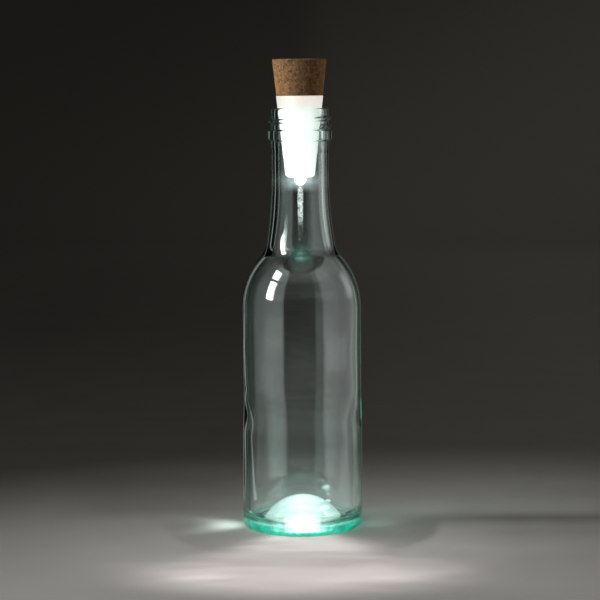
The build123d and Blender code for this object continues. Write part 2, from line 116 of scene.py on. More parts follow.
class BottleSizes(bpy.types.PropertyGroup):
    """Sizes and tint of the glass bottle."""

    upper_slimming: bpy.props.FloatProperty(
        name="Upper body slimming", description="How much slimmer the body is above the settle wave",
        default=0.3 * MM, subtype="DISTANCE", unit="LENGTH")
    heel_round: bpy.props.FloatProperty(
        name="Heel rounding", description="Radius of the rounding at the foot",
        default=2.9 * MM, subtype="DISTANCE", unit="LENGTH")
    bearing_width: bpy.props.FloatProperty(
        name="Bearing ring", description="Width of the ring that the bottle stands on",
        default=1.3 * MM, subtype="DISTANCE", unit="LENGTH")
    punt_height: bpy.props.FloatProperty(
        name="Punt height", description="How far the foot is pushed up in the middle",
        default=10 * MM, subtype="DISTANCE", unit="LENGTH")
    punt_thickness: bpy.props.FloatProperty(
        name="Punt glass", description="Thickness of the glass at the top of the punt",
        default=3.7 * MM, subtype="DISTANCE", unit="LENGTH")
    punt_flank_radius: bpy.props.FloatProperty(
        name="Punt flank radius", description="Where the punt's dome turns into its skirt, from the axis",
        default=14.5 * MM, subtype="DISTANCE", unit="LENGTH")
    punt_flank_height: bpy.props.FloatProperty(
        name="Punt flank height", description="Height where the punt's dome turns into its skirt",
        default=4 * MM, subtype="DISTANCE", unit="LENGTH")
    floor_thickness: bpy.props.FloatProperty(
        name="Floor glass", description="Thickness of the glass round the punt",
        default=3.8 * MM, subtype="DISTANCE", unit="LENGTH")
    shoulder_height: bpy.props.FloatProperty(
        name="Shoulder height", description="Where the body starts to curve in",
        default=97 * MM, subtype="DISTANCE", unit="LENGTH")
    neck_foot_height: bpy.props.FloatProperty(
        name="Neck foot height", description="Where the shoulder meets the neck",
        default=122 * MM, subtype="DISTANCE", unit="LENGTH")
    neck_foot_radius: bpy.props.FloatProperty(
        name="Neck foot radius", description="Radius where the shoulder meets the neck",
        default=15.4 * MM, subtype="DISTANCE", unit="LENGTH")
    neck_radius: bpy.props.FloatProperty(
        name="Neck radius", description="Radius of the straight part of the neck",
        default=12.45 * MM, subtype="DISTANCE", unit="LENGTH")
    bore_radius: bpy.props.FloatProperty(
        name="Bore radius", description="Radius of the hole in the mouth",
        default=9.55 * MM, subtype="DISTANCE", unit="LENGTH")
    upper_wall: bpy.props.FloatProperty(
        name="Upper wall", description="Thickness of the upper body's wall",
        default=2.1 * MM, subtype="DISTANCE", unit="LENGTH")
    lower_wall: bpy.props.FloatProperty(
        name="Lower wall", description="Thickness of the lower body's wall",
        default=3.3 * MM, subtype="DISTANCE", unit="LENGTH")
    thread_pitch: bpy.props.FloatProperty(
        name="Thread pitch", description="Rise of the screw thread in one turn",
        default=3.7 * MM, subtype="DISTANCE", unit="LENGTH")
    thread_depth: bpy.props.FloatProperty(
        name="Thread depth", description="How far the thread stands out of the finish",
        default=1.05 * MM, subtype="DISTANCE", unit="LENGTH")
    knurls: bpy.props.IntProperty(
        name="Knurls", description="Number of grip marks round the foot", default=54, min=0)
    tint: bpy.props.FloatVectorProperty(
        name="Glass tint", description="Colour that light takes on in thick glass",
        default=(0.25, 0.85, 0.70), subtype="COLOR", min=0, max=1)
    tint_density: bpy.props.FloatProperty(
        name="Tint density", description="Strength of the tint for each metre of glass",
        default=46, min=0)


class LightSizes(bpy.types.PropertyGroup):
    """Sizes and colours of the light in the bottle's mouth."""

    glow: bpy.props.FloatVectorProperty(
        name="Plug glow", description="Colour of the lit plug below the mouth",
        default=(0.97, 1.0, 0.98), subtype="COLOR", min=0, max=1)
    cork_light: bpy.props.FloatVectorProperty(
        name="Light cork", description="Colour of the palest cork granules",
        default=(0.46, 0.235, 0.070), subtype="COLOR", min=0, max=1)
    cork_dark: bpy.props.FloatVectorProperty(
        name="Dark cork", description="Colour of the darkest cork granules",
        default=(0.045, 0.016, 0.003), subtype="COLOR", min=0, max=1)
    granule_size: bpy.props.FloatProperty(
        name="Granule size", description="Mean width of a cork granule",
        default=1.25 * MM, subtype="DISTANCE", unit="LENGTH")


class StageSizes(bpy.types.PropertyGroup):
    """Floor, lights and camera."""

    floor_colour: bpy.props.FloatVectorProperty(
        name="Floor", description="Colour of the plain pale floor",
        default=(0.36, 0.352, 0.342), subtype="COLOR", min=0, max=1)
    # Painted shade: the floor is painted this dark colour away from the lit place in front of the bottle,
    # also where it rises as a backdrop.
    shaded_backdrop_colour: bpy.props.FloatVectorProperty(
        name="Backdrop", description="Colour of the floor far away, where it rises as a backdrop",
        default=(0.042, 0.040, 0.035), subtype="COLOR", min=0, max=1)
    key_radiance: bpy.props.FloatProperty(
        name="Key light", description="Radiance of the soft light at the front left", default=5, min=0)
    box_radiance: bpy.props.FloatProperty(
        name="Mirrored boxes", description="Radiance of the two soft boxes as the glass mirrors them",
        default=30, min=0)
    side_radiance: bpy.props.FloatProperty(
        name="Side light", description="Radiance of the low light at the left", default=26, min=0)
    rear_radiance: bpy.props.FloatProperty(
        name="Rear fill", description="Radiance of the weak light behind on the right", default=11, min=0)
    tent_radiance: bpy.props.FloatProperty(
        name="Light tent", description="Radiance of the tent that only the glass mirrors", default=1.0, min=0)
    tent_radius: bpy.props.FloatProperty(
        name="Tent radius", description="From the bottle's axis to the light tent", default=150 * MM,
        subtype="DISTANCE", unit="LENGTH")
    backdrop_glow: bpy.props.FloatProperty(
        name="Backdrop glow", description="Power of the spot on the right of the backdrop", default=27, min=0,
        subtype="POWER")
    top_power: bpy.props.FloatProperty(
        name="Overhead light", description="Power of the overhead spot in front", default=6, min=0,
        subtype="POWER")
    beam_power: bpy.props.FloatProperty(
        name="LED beam", description="Power of the LED's beam", default=3.4, min=0, subtype="POWER")
    glow_power: bpy.props.FloatProperty(
        name="Punt glow", description="Power of the light that the punt scatters", default=0.03, min=0,
        subtype="POWER")
    camera_distance: bpy.props.FloatProperty(
        name="Camera distance", description="From the camera to the bottle's axis",
        default=830 * MM, subtype="DISTANCE", unit="LENGTH")
    camera_height: bpy.props.FloatProperty(
        name="Camera height", description="Height of the camera above the floor",
        default=192.6 * MM, subtype="DISTANCE", unit="LENGTH")
    camera_pitch: bpy.props.FloatProperty(
        name="Camera pitch", description="How far the camera looks down",
        default=math.radians(6.35), subtype="ANGLE", unit="ROTATION")
    camera_roll: bpy.props.FloatProperty(
        name="Camera roll", description="How far the camera leans to the right",
        default=math.radians(0.45), subtype="ANGLE", unit="ROTATION")
    camera_lens: bpy.props.FloatProperty(
        name="Lens", description="Focal length in millimetres", default=114.4, min=1)


def start_clean():
    """Leaves nothing selected, in object mode."""
    if bpy.context.object and bpy.context.object.mode != "OBJECT":
        bpy.ops.object.mode_set(mode="OBJECT")
    bpy.ops.object.select_all(action="DESELECT")


def smoothstep(low, high, value):
    """Share from 0 to 1 that rises smoothly between low and high."""
    share = min(1.0, max(0.0, (value - low) / (high - low)))
    return share * share * (3 - 2 * share)


class Outline:
    """Outline of radius and height, walked along lines, arcs and S-curves in metres."""

    def __init__(self, radius, height):
        self.points = [(radius, height)]
        self.corners = []
        self.heading = OUT

    def line(self, radius, height, step=3 * MM):
        r0, z0 = self.points[-1]
        pieces = max(1, math.ceil(math.dist((r0, z0), (radius, height)) / step))
        for number in range(1, pieces + 1):
            share = number / pieces
            self.points.append((r0 + (radius - r0) * share, z0 + (height - z0) * share))
        return self

    def arc(self, radius, height, tangent, pieces):
        """Arc that leaves the last point along a tangent."""
        r0, z0 = self.points[-1]
        dr, dz = radius - r0, height - z0
        side = tangent[0] * dz - tangent[1] * dr
        if abs(side) < 1e-12:
            return self.line(radius, height)
        bend = (dr * dr + dz * dz) / (2 * side)
        centre = (r0 - tangent[1] * bend, z0 + tangent[0] * bend)
        first = math.atan2(z0 - centre[1], r0 - centre[0])
        turn = math.atan2(height - centre[1], radius - centre[0]) - first
        turn = math.remainder(turn, FULL_TURN)
        for number in range(1, pieces + 1):
            angle = first + turn * number / pieces
            self.points.append(
                (centre[0] + abs(bend) * math.cos(angle), centre[1] + abs(bend) * math.sin(angle)))
        way = math.copysign(1, turn)
        self.heading = (-way * math.sin(angle), way * math.cos(angle))
        return self

    def arc_from(self, radius, height, end_tangent, pieces):
        """Arc that arrives at its end along a tangent."""
        other = Outline(radius, height).arc(*self.points[-1], end_tangent, pieces)
        self.points += other.points[-2::-1]
        return self

    def ease(self, radius, height, tangent, pieces):
        """S-curve between two points, along one tangent at both."""
        r0, z0 = self.points[-1]
        reach = math.dist((r0, z0), (radius, height))
        for number in range(1, pieces + 1):
            t = number / pieces
            a, b = 2 * t**3 - 3 * t**2 + 1, t**3 - 2 * t**2 + t
            c, d = 3 * t**2 - 2 * t**3, t**3 - t**2
            pull = (b + d) * reach
            self.points.append(
                (a * r0 + c * radius + pull * tangent[0], a * z0 + c * height + pull * tangent[1]))
        return self

    def corner(self, reach, pieces=6):
        """Marks the last point as a corner that is rounded over a reach on both sides."""
        self.corners.append((self.points[-1], reach, pieces))
        return self

    def walk(self, index, step, reach):
        """Point at a distance along the outline, and the last point passed."""
        left = reach
        while True:
            here, there = self.points[index], self.points[index + step]
            length = math.dist(here, there)
            if length >= left or not 0 <= index + 2 * step < len(self.points):
                share = min(1.0, left / length)
                return (here[0] + (there[0] - here[0]) * share, here[1] + (there[1] - here[1]) * share), index
            left -= length
            index += step

    def finished(self):
        """All points, with the corners rounded."""
        for spot, reach, pieces in self.corners:
            index = self.points.index(spot)
            before, first = self.walk(index, -1, reach)
            after, last = self.walk(index, 1, reach)
            a = Vector(spot) - Vector(before)
            b = Vector(after) - Vector(spot)
            weight = math.cos(a.angle(b) / 2)
            rounded = []
            for number in range(pieces + 1):
                t = number / pieces
                p, q, s = (1 - t) ** 2, 2 * t * (1 - t) * weight, t**2
                rounded.append(tuple(
                    (p * x + q * y + s * z) / (p + q + s) for x, y, z in zip(before, spot, after)))
            self.points[first:last + 1] = rounded
        return self.points


def turned_piece(name, points, segments):
    """Mesh spun about the Z axis from an outline, drawn by extruding one vertex point by point."""
    start_clean()
    bpy.ops.mesh.primitive_plane_add(size=MM)
    piece = bpy.context.object
    piece.name = piece.data.name = name
    bpy.ops.object.mode_set(mode="EDIT")
    bpy.ops.mesh.merge(type="CENTER")
    bpy.ops.transform.translate(value=(points[0][0], 0, points[0][1]))
    for before, after in zip(points, points[1:]):
        step = (after[0] - before[0], 0, after[1] - before[1])
        bpy.ops.mesh.extrude_region_move(TRANSFORM_OT_translate={"value": step})
    bpy.ops.mesh.select_all(action="SELECT")
    bpy.ops.mesh.spin(steps=segments, angle=FULL_TURN, center=(0, 0, 0), axis=(0, 0, 1))
    bpy.ops.mesh.select_all(action="SELECT")
    bpy.ops.mesh.remove_doubles(threshold=DOUBLES)
    bpy.ops.mesh.normals_make_consistent(inside=False)
    bpy.ops.object.mode_set(mode="OBJECT")
    bpy.ops.object.shade_smooth()
    return piece


def kept_copy(node, bevel):
    """Merged and smoothed copy of a CAD node, with its sharp edges eased by a small bevel."""
    start_clean()
    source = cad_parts[node]
    piece = source.copy()
    piece.data = source.data.copy()
    piece.parent = None
    for key in [key for key in piece.keys() if key.startswith("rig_")]:
        del piece[key]
    piece.name = piece.data.name = node + "_finish"
    bpy.context.collection.objects.link(piece)
    bpy.context.view_layer.objects.active = piece
    piece.select_set(True)
    bpy.ops.object.mode_set(mode="EDIT")
    bpy.ops.mesh.select_all(action="SELECT")
    bpy.ops.mesh.remove_doubles(threshold=DOUBLES)
    bpy.ops.mesh.tris_convert_to_quads()
    bpy.ops.object.mode_set(mode="OBJECT")
    ease = piece.modifiers.new("eased_edges", "BEVEL")
    ease.width = bevel
    ease.segments = 2
    ease.limit_method = "ANGLE"
    ease.angle_limit = EASED_ANGLE
    bpy.ops.object.modifier_apply(modifier=ease.name)
    bpy.ops.object.shade_smooth_by_angle(angle=EASED_ANGLE)
    return piece


def give(piece, body, slot, material, *nodes):
    """Puts a finished piece on its body and material, in place of CAD nodes; the slot argument is not used.
    """
    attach(piece, body)
    if nodes:
        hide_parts(*nodes)
    piece.data.materials.clear()
    piece.data.materials.append(material)
    return piece


class Nodes:
    """Short way to write a node tree."""

    def __init__(self, tree):
        self.tree = tree

    def put(self, value, socket):
        """Links an output to a socket, or sets the socket to a value."""
        if isinstance(value, bpy.types.NodeSocket):
            self.tree.links.new(value, socket)
        elif socket.type == "RGBA" and len(value) == 3:
            socket.default_value = (*value, 1)
        else:
            socket.default_value = value

    def add(self, kind, inputs=None, **settings):
        """Node of a kind, with its settings and inputs."""
        node = self.tree.nodes.new(kind)
        for key, value in settings.items():
            setattr(node, key, value)
        for key, value in (inputs or {}).items():
            self.put(value, node.inputs[key])
        return node

    def math(self, operation, *values, clamp=False):
        """Result of one sum."""
        inputs = dict(enumerate(values))
        return self.add("ShaderNodeMath", inputs, operation=operation, use_clamp=clamp).outputs[0]

    def chain(self, operation, values):
        """Result of the same sum over all values in turn."""
        result = values[0]
        for value in values[1:]:
            result = self.math(operation, result, value)
        return result

    def times(self, *values):
        """Product of values."""
        return self.chain("MULTIPLY", values)

    def plus(self, *values):
        """Sum of values."""
        return self.chain("ADD", values)

    def minus(self, first, second):
        """First value less the second."""
        return self.math("SUBTRACT", first, second)

    def span(self, value, low, high, first=0.0, last=1.0):
        """Value mapped from one range to another, clamped."""
        inputs = {"Value": value, "From Min": low, "From Max": high, "To Min": first, "To Max": last}
        return self.add("ShaderNodeMapRange", inputs, clamp=True).outputs["Result"]

    def fade(self, value, low, high):
        """1 below a range of the value, and 0 above it."""
        return self.span(value, low, high, 1.0, 0.0)

    def hump(self, value, *feet):
        """1 between the inner two of four feet, and 0 beyond the outer two."""
        return self.times(self.span(value, *feet[:2]), self.fade(value, *feet[2:]))

    def window(self, value, low, high, soft):
        """1 between two limits and 0 outside, with soft edges."""
        return self.hump(value, low - soft, low + soft, high - soft, high + soft)

    def noise(self, where, scale, detail=2.0, roughness=0.5):
        """Value of a noise texture."""
        inputs = {"Vector": where, "Scale": scale, "Detail": detail, "Roughness": roughness}
        return self.add("ShaderNodeTexNoise", inputs).outputs[0]

    def patchy(self, noise, first, last):
        """Noise stretched to run from one value to another."""
        return self.span(noise, 0.3, 0.7, first, last)

    def ramp(self, value, *stops):
        """Colour ramp with stops of place and colour."""
        node = self.add("ShaderNodeValToRGB", {"Fac": value})
        elements = node.color_ramp.elements
        while len(elements) > 1:
            elements.remove(elements[-1])
        elements[0].position = stops[0][0]
        elements[0].color = (*stops[0][1], 1)
        for place, colour in stops[1:]:
            elements.new(place).color = (*colour, 1)
        return node.outputs["Color"]

    def levels(self, value, stops):
        """Grey ramp with stops of place and level."""
        return self.ramp(value, *((place, (level, level, level)) for place, level in stops))

    def mix(self, share, first, second, blend="MIX"):
        """Mix of two colours."""
        inputs = {0: share, 6: first, 7: second}
        return self.add("ShaderNodeMix", inputs, data_type="RGBA", blend_type=blend).outputs[2]

    def both(self, first, second):
        """Sum of two colours."""
        return self.mix(1.0, first, second, "ADD")

    def scaled(self, colour, level):
        """Colour times a value."""
        return self.add("ShaderNodeVectorMath", {0: colour, "Scale": level}, operation="SCALE").outputs[0]

    def stretched(self, where, factors):
        """Place with each of its coordinates times a factor."""
        return self.add("ShaderNodeVectorMath", {0: where, 1: factors}, operation="MULTIPLY").outputs[0]

    def split(self, vector):
        """X, Y and Z of a vector."""
        return self.add("ShaderNodeSeparateXYZ", {"Vector": vector}).outputs

    def flat_distance(self, x, y):
        """Distance of x and y from the Z axis."""
        return self.math("SQRT", self.plus(self.times(x, x), self.times(y, y)))

    def here(self):
        """Object coordinates of the point."""
        return self.add("ShaderNodeTexCoord").outputs["Object"]

    def place(self):
        """Object coordinates of the point, its x, its distance from the Z axis and its height."""
        where = self.here()
        x, y, z = self.split(where)
        return where, x, self.flat_distance(x, y), z

    def facing(self):
        """0 where the surface faces the viewer, 1 where it is seen edge on."""
        return self.add("ShaderNodeLayerWeight", {"Blend": 0.5}).outputs["Facing"]

    def bump(self, height, distance, strength=1.0):
        """Normal bent by a height."""
        inputs = {"Height": height, "Distance": distance, "Strength": strength}
        return self.add("ShaderNodeBump", inputs).outputs[0]

    def surface(self, output, inputs):
        """Principled shader as the material's surface."""
        shader = self.add("ShaderNodeBsdfPrincipled", inputs)
        self.tree.links.new(shader.outputs[0], output.inputs["Surface"])


def new_material(name):
    """Empty material with an output node; returns it, its tree and the output."""
    material = bpy.data.materials.new(name)
    material.use_nodes = True
    material.node_tree.nodes.clear()
    nodes = Nodes(material.node_tree)
    return material, nodes, nodes.add("ShaderNodeOutputMaterial")


def grain_group():
    """Node group: fine grain that varies a colour, a roughness and a bump height."""
    name = "fine_grain"
    if name in bpy.data.node_groups:
        return bpy.data.node_groups[name]
    tree = bpy.data.node_groups.new(name, "ShaderNodeTree")
    for label, way, kind, default in (
        ("Colour", "INPUT", "NodeSocketColor", (0.5, 0.5, 0.5, 1)),
        ("Scale", "INPUT", "NodeSocketFloat", 800.0),
        ("Variation", "INPUT", "NodeSocketFloat", 0.1),
        ("Roughness", "INPUT", "NodeSocketFloat", 0.5),
        ("Colour", "OUTPUT", "NodeSocketColor", None),
        ("Roughness", "OUTPUT", "NodeSocketFloat", None),
        ("Height", "OUTPUT", "NodeSocketFloat", None),
    ):
        socket = tree.interface.new_socket(label, in_out=way, socket_type=kind)
        if default is not None:
            socket.default_value = default
    nodes = Nodes(tree)
    given = nodes.add("NodeGroupInput").outputs
    where = nodes.here()
    fine = nodes.noise(where, given["Scale"], 6.0, 0.6)
    broad = nodes.noise(where, nodes.times(given["Scale"], 0.12), 3.0)
    height = nodes.plus(nodes.times(fine, 0.6), nodes.times(broad, 0.4))
    shift = nodes.times(nodes.minus(height, 0.5), given["Variation"])
    light = nodes.plus(1.0, nodes.times(shift, 2.0))
    nodes.add("NodeGroupOutput", {
        "Colour": nodes.scaled(given["Colour"], light), "Height": height,
        "Roughness": nodes.math("ADD", given["Roughness"], shift, clamp=True)})
    return tree


def grained(name, colour, roughness, scale, variation, bump=0.02 * MM, metallic=0.0, anisotropic=0.0):
    """Opaque material with fine grain in its colour, gloss and surface."""
    material, nodes, output = new_material(name)
    grain = nodes.add("ShaderNodeGroup", node_tree=grain_group())
    given = {"Colour": colour, "Scale": scale, "Variation": variation, "Roughness": roughness}
    for label, value in given.items():
        nodes.put(value, grain.inputs[label])
    nodes.surface(output, {
        "Base Color": grain.outputs["Colour"], "Roughness": grain.outputs["Roughness"], "Metallic": metallic,
        "Anisotropic": anisotropic, "Normal": nodes.bump(grain.outputs["Height"], bump)})
    return material


def bottle_outline(sizes):
    """Outline of the bottle's outside, finish and inside, from the punt round and back."""
    body = BODY_RADIUS
    upper = body - sizes.upper_slimming
    bearing_outer = body - sizes.heel_round
    bearing_inner = bearing_outer - sizes.bearing_width
    wave_low, wave_high = mm(42.5, 57.5)
    neck_top = MOUTH - 26 * MM
    bore_low = MOUTH - 34 * MM
    collar_low = MOUTH - 18.5 * MM
    collar = 12.65 * MM
    bead_high = MOUTH - 9.4 * MM
    bead_low = bead_high - 4.7 * MM
    bead = 13.9 * MM
    bead_round = 0.8 * MM
    finish_foot_round = 0.35 * MM
    lip = 1 * MM
    inner_foot = sizes.neck_foot_radius - 3 * MM
    upper_inner = upper - sizes.upper_wall
    lower_inner = body - sizes.lower_wall
    inner_heel = 4.6 * MM
    punt_foot = lower_inner - inner_heel - 1.3 * MM
    punt_top = sizes.punt_height + sizes.punt_thickness
    coarse = 2.5 * MM
    path = Outline(0, sizes.punt_height)
    path.arc(sizes.punt_flank_radius, sizes.punt_flank_height, OUT, 16)
    path.arc(bearing_inner, 0, path.heading, 10)
    path.line(bearing_outer, 0, 0.7 * MM)
    path.arc(body, sizes.heel_round, OUT, 12)
    path.line(body, wave_low, coarse)
    path.ease(upper, wave_high, UP, 12)
    path.line(upper, sizes.shoulder_height)
    path.arc(sizes.neck_foot_radius, sizes.neck_foot_height, UP, 26)
    path.corner(3.2 * MM, 8)
    path.arc_from(sizes.neck_radius, neck_top, DOWN, 16)
    path.line(sizes.neck_radius, collar_low, coarse)
    path.line(collar, collar_low + 0.8 * MM)
    path.line(collar, bead_low, 1.1 * MM).corner(finish_foot_round, 3)
    path.line(bead, bead_low).corner(bead_round, 5)
    path.line(bead, bead_high, 0.8 * MM).corner(bead_round, 5)
    path.line(FINISH_RADIUS, bead_high).corner(finish_foot_round, 3)
    path.line(FINISH_RADIUS, MOUTH, 0.21 * MM).corner(lip, 7)
    path.line(sizes.bore_radius, MOUTH, 0.4 * MM).corner(lip, 7)
    path.line(sizes.bore_radius, bore_low, coarse)
    path.arc(inner_foot, sizes.neck_foot_height, DOWN, 12)
    path.corner(3 * MM, 8)
    path.arc_from(upper_inner, sizes.shoulder_height, UP, 24)
    path.line(upper_inner, 68 * MM)
    path.line(upper_inner, wave_high, 0.7 * MM)
    path.ease(lower_inner, wave_low, DOWN, 21)
    path.line(lower_inner, sizes.floor_thickness, coarse).corner(inner_heel, 9)
    path.line(punt_foot, sizes.floor_thickness).corner(0.9 * MM, 5)
    path.arc_from(0, punt_top, IN, 24)
    return path.finished()


def thread_rise(sizes, angle, z):
    """How far the screw thread stands out of the finish."""
    crest_top = MOUTH - 4.3 * MM
    half_width = 1.15 * MM
    rise = 0.0
    for lap in (-1, 0, 1):
        turn = angle / FULL_TURN + lap
        fade = smoothstep(-1.15, -0.95, turn) * (1 - smoothstep(0.08, 0.22, turn))
        off = abs(z - crest_top - sizes.thread_pitch * turn) / half_width
        rise = max(rise, sizes.thread_depth * fade * (1 - smoothstep(0.25, 1.0, off)))
    return rise


def inside_shift(angle, z):
    """Unevenness of the wall's inside, with the settle wave round the body."""
    side, back = math.cos(angle), math.sin(angle)
    crest = (53 + 6.2 * side * side - 1.8 * side + 2 * max(0, back)) * MM
    off = (z - crest) / ((1.6 + 1.2 * side * side) * MM)
    shift = -0.0768 * MM * math.exp(-off * off) - 0.0576 * MM * smoothstep(-1.5, 1.5, -off)
    shift += 0.05 * MM * math.sin(2 * angle + z / (9 * MM)) * math.sin(z / (17 * MM) + angle)
    return shift + 0.02 * MM * math.sin(5 * angle - z / (6 * MM))


def shape_bottle(piece, sizes):
    """Moves the spun glass into what moulding leaves: thread, settle wave, knurls, uneven inside."""
    knurl_low, knurl_high = mm(0.15, 2.3)
    for vertex in piece.data.vertices:
        x, y, z = vertex.co
        radius = math.hypot(x, y)
        if radius < MM:
            continue
        angle = math.atan2(y, x)
        shift = 0.0
        outer = radius > BODY_RADIUS - 1.2 * MM or z < 3.5 * MM
        if abs(radius - FINISH_RADIUS) < 0.4 * MM and z > MOUTH - 10.5 * MM:
            shift = thread_rise(sizes, angle, z)
        elif 9 * MM < z < 100 * MM and not outer:
            shift = inside_shift(angle, z)
        elif outer and knurl_low < z < knurl_high and radius > BODY_RADIUS - 3 * MM:
            grip = max(0.0, math.sin(sizes.knurls * angle))
            shift = -0.22 * MM * grip * math.sin(math.pi * z / knurl_high)
        if shift:
            vertex.co.x = x * (radius + shift) / radius
            vertex.co.y = y * (radius + shift) / radius
    piece.data.update()


def punt_light(nodes, where, radius, z, facing, sizes):
    """White light on the punt's dome, and the dim light in the hollow under it."""
    dome = 20.2 * MM
    crown = sizes.punt_height + sizes.punt_thickness / 2
    drop = nodes.math("MAXIMUM", nodes.minus(dome * dome, nodes.times(radius, radius)), 0.0)
    drop = nodes.minus(dome, nodes.math("SQRT", drop))
    middle = nodes.math("MAXIMUM", nodes.minus(crown, drop), 2.6 * MM)
    inner = nodes.math("GREATER_THAN", z, middle)
    mound = nodes.ramp(nodes.span(radius, 0.0, 20 * MM), *MOUND_LIGHT)
    veins = nodes.noise(where, 140.0, 5.0, 0.7)
    front = nodes.times(nodes.fade(facing, 0.34, 0.66), nodes.fade(radius, *mm(18.5, 20)))
    mound = nodes.mix(front, mound, (1.1, 1.15, 1.15))
    mound = nodes.mix(1.0, mound, nodes.ramp(veins, *VEIN_LIGHT), "MULTIPLY")
    mound = nodes.mix(nodes.times(inner, nodes.fade(z, *mm(14.5, 16))), BLACK, mound)
    mirrored = nodes.add("ShaderNodeLightPath").outputs["Is Glossy Ray"]
    mound = nodes.mix(nodes.times(mirrored, 0.72), mound, BLACK)
    hollow = nodes.ramp(nodes.span(radius, 0.0, 22 * MM), *HOLLOW_LIGHT)
    below = nodes.times(
        nodes.minus(1.0, inner), nodes.fade(z, *mm(10.5, 11)), nodes.fade(radius, *mm(21, 22)))
    return nodes.both(mound, nodes.mix(below, BLACK, hollow))


def foot_light(nodes, where, radius, z, facing):
    """Ring of light in the thick glass of the foot, white where it faces the viewer."""
    skin = nodes.span(radius, *mm(23.5, 25))
    patches = nodes.noise(where, 190.0, 4.0, 0.6)
    ring = nodes.times(nodes.fade(z, *mm(3.5, 8)), skin, nodes.span(patches, 0.38, 0.62, 0.15, 1.0))
    ring = nodes.mix(ring, BLACK, nodes.ramp(facing, *RING_LIGHT))
    core = nodes.times(nodes.fade(facing, 0.015, 0.075), nodes.fade(z, *mm(8, 13)), skin)
    ring = nodes.both(ring, nodes.mix(core, BLACK, (0.75, 0.85, 0.83)))
    behind = nodes.add("ShaderNodeNewGeometry").outputs["Backfacing"]
    return nodes.mix(nodes.times(behind, 0.9), ring, BLACK)


def neck_light(nodes, where, x, radius, z, facing):
    """Painted light in the neck: a soft glow round the LED, a painted streak of sparkling glints below it and
    a drop of painted teal glow at the neck's foot.
    """
    bore = nodes.fade(radius, *mm(11.6, 12))
    wisps = nodes.noise(where, 320.0, 4.0, 0.65)
    # Painted glow round the LED, on the wall of the bore.
    near_led = nodes.times(
        nodes.hump(z, *HAZE_HEIGHTS), bore, nodes.span(facing, 0.004, 0.20, 1.0, 0.06),
        nodes.span(wisps, 0.35, 0.65, 0.5, 1.0))
    painted_wall_glow = nodes.mix(near_led, BLACK, (0.42, 0.50, 0.50))
    # Painted glints: a sparkling streak in a thin column of the bore that faces the viewer, below the LED.
    sparks = nodes.noise(nodes.stretched(where, (2200, 2200, 1500)), 1.0, 3.0, 0.7)
    wide = nodes.times(nodes.span(z, *mm(133, 151), 0.0024, 0.0038), nodes.patchy(sparks, 0.6, 1.3))
    dense = nodes.times(nodes.hump(z, *STREAK_HEIGHTS), nodes.span(sparks, 0.42, 0.52))
    thin = nodes.times(nodes.hump(z, *SPARK_HEIGHTS), nodes.span(sparks, 0.60, 0.68))
    column = nodes.times(nodes.math("LESS_THAN", facing, wide), bore, nodes.plus(dense, thin))
    painted_wall_glow = nodes.mix(column, painted_wall_glow, (0.9, 0.95, 0.92))
    # A drop of painted teal glow at the neck's foot, where x is near 0.
    drop = nodes.times(
        nodes.hump(z, *TEAL_GLOW_HEIGHTS), nodes.fade(nodes.math("ABSOLUTE", x), *mm(0.5, 5.5)),
        nodes.span(wisps, 0.35, 0.65, 0.4, 1.2))
    return nodes.both(painted_wall_glow, nodes.mix(drop, BLACK, (0.006, 0.036, 0.028)))


def edge_light(nodes, x, z, facing):
    """Teal light that the wall carries up to its edges, with a bright spill at the settle wave."""
    spill = nodes.times(nodes.hump(z, *SPILL_HEIGHTS), nodes.span(x, *mm(23.5, 25.5), 0.0, 4.0))
    guided = nodes.times(
        nodes.span(facing, 0.72, 1.0), nodes.span(z, *mm(20, 100), 1.0, 0.55),
        nodes.span(x, *mm(-26, 26), 0.1, 1.7), nodes.plus(1.0, spill))
    return nodes.scaled((0.010, 0.052, 0.036), guided)


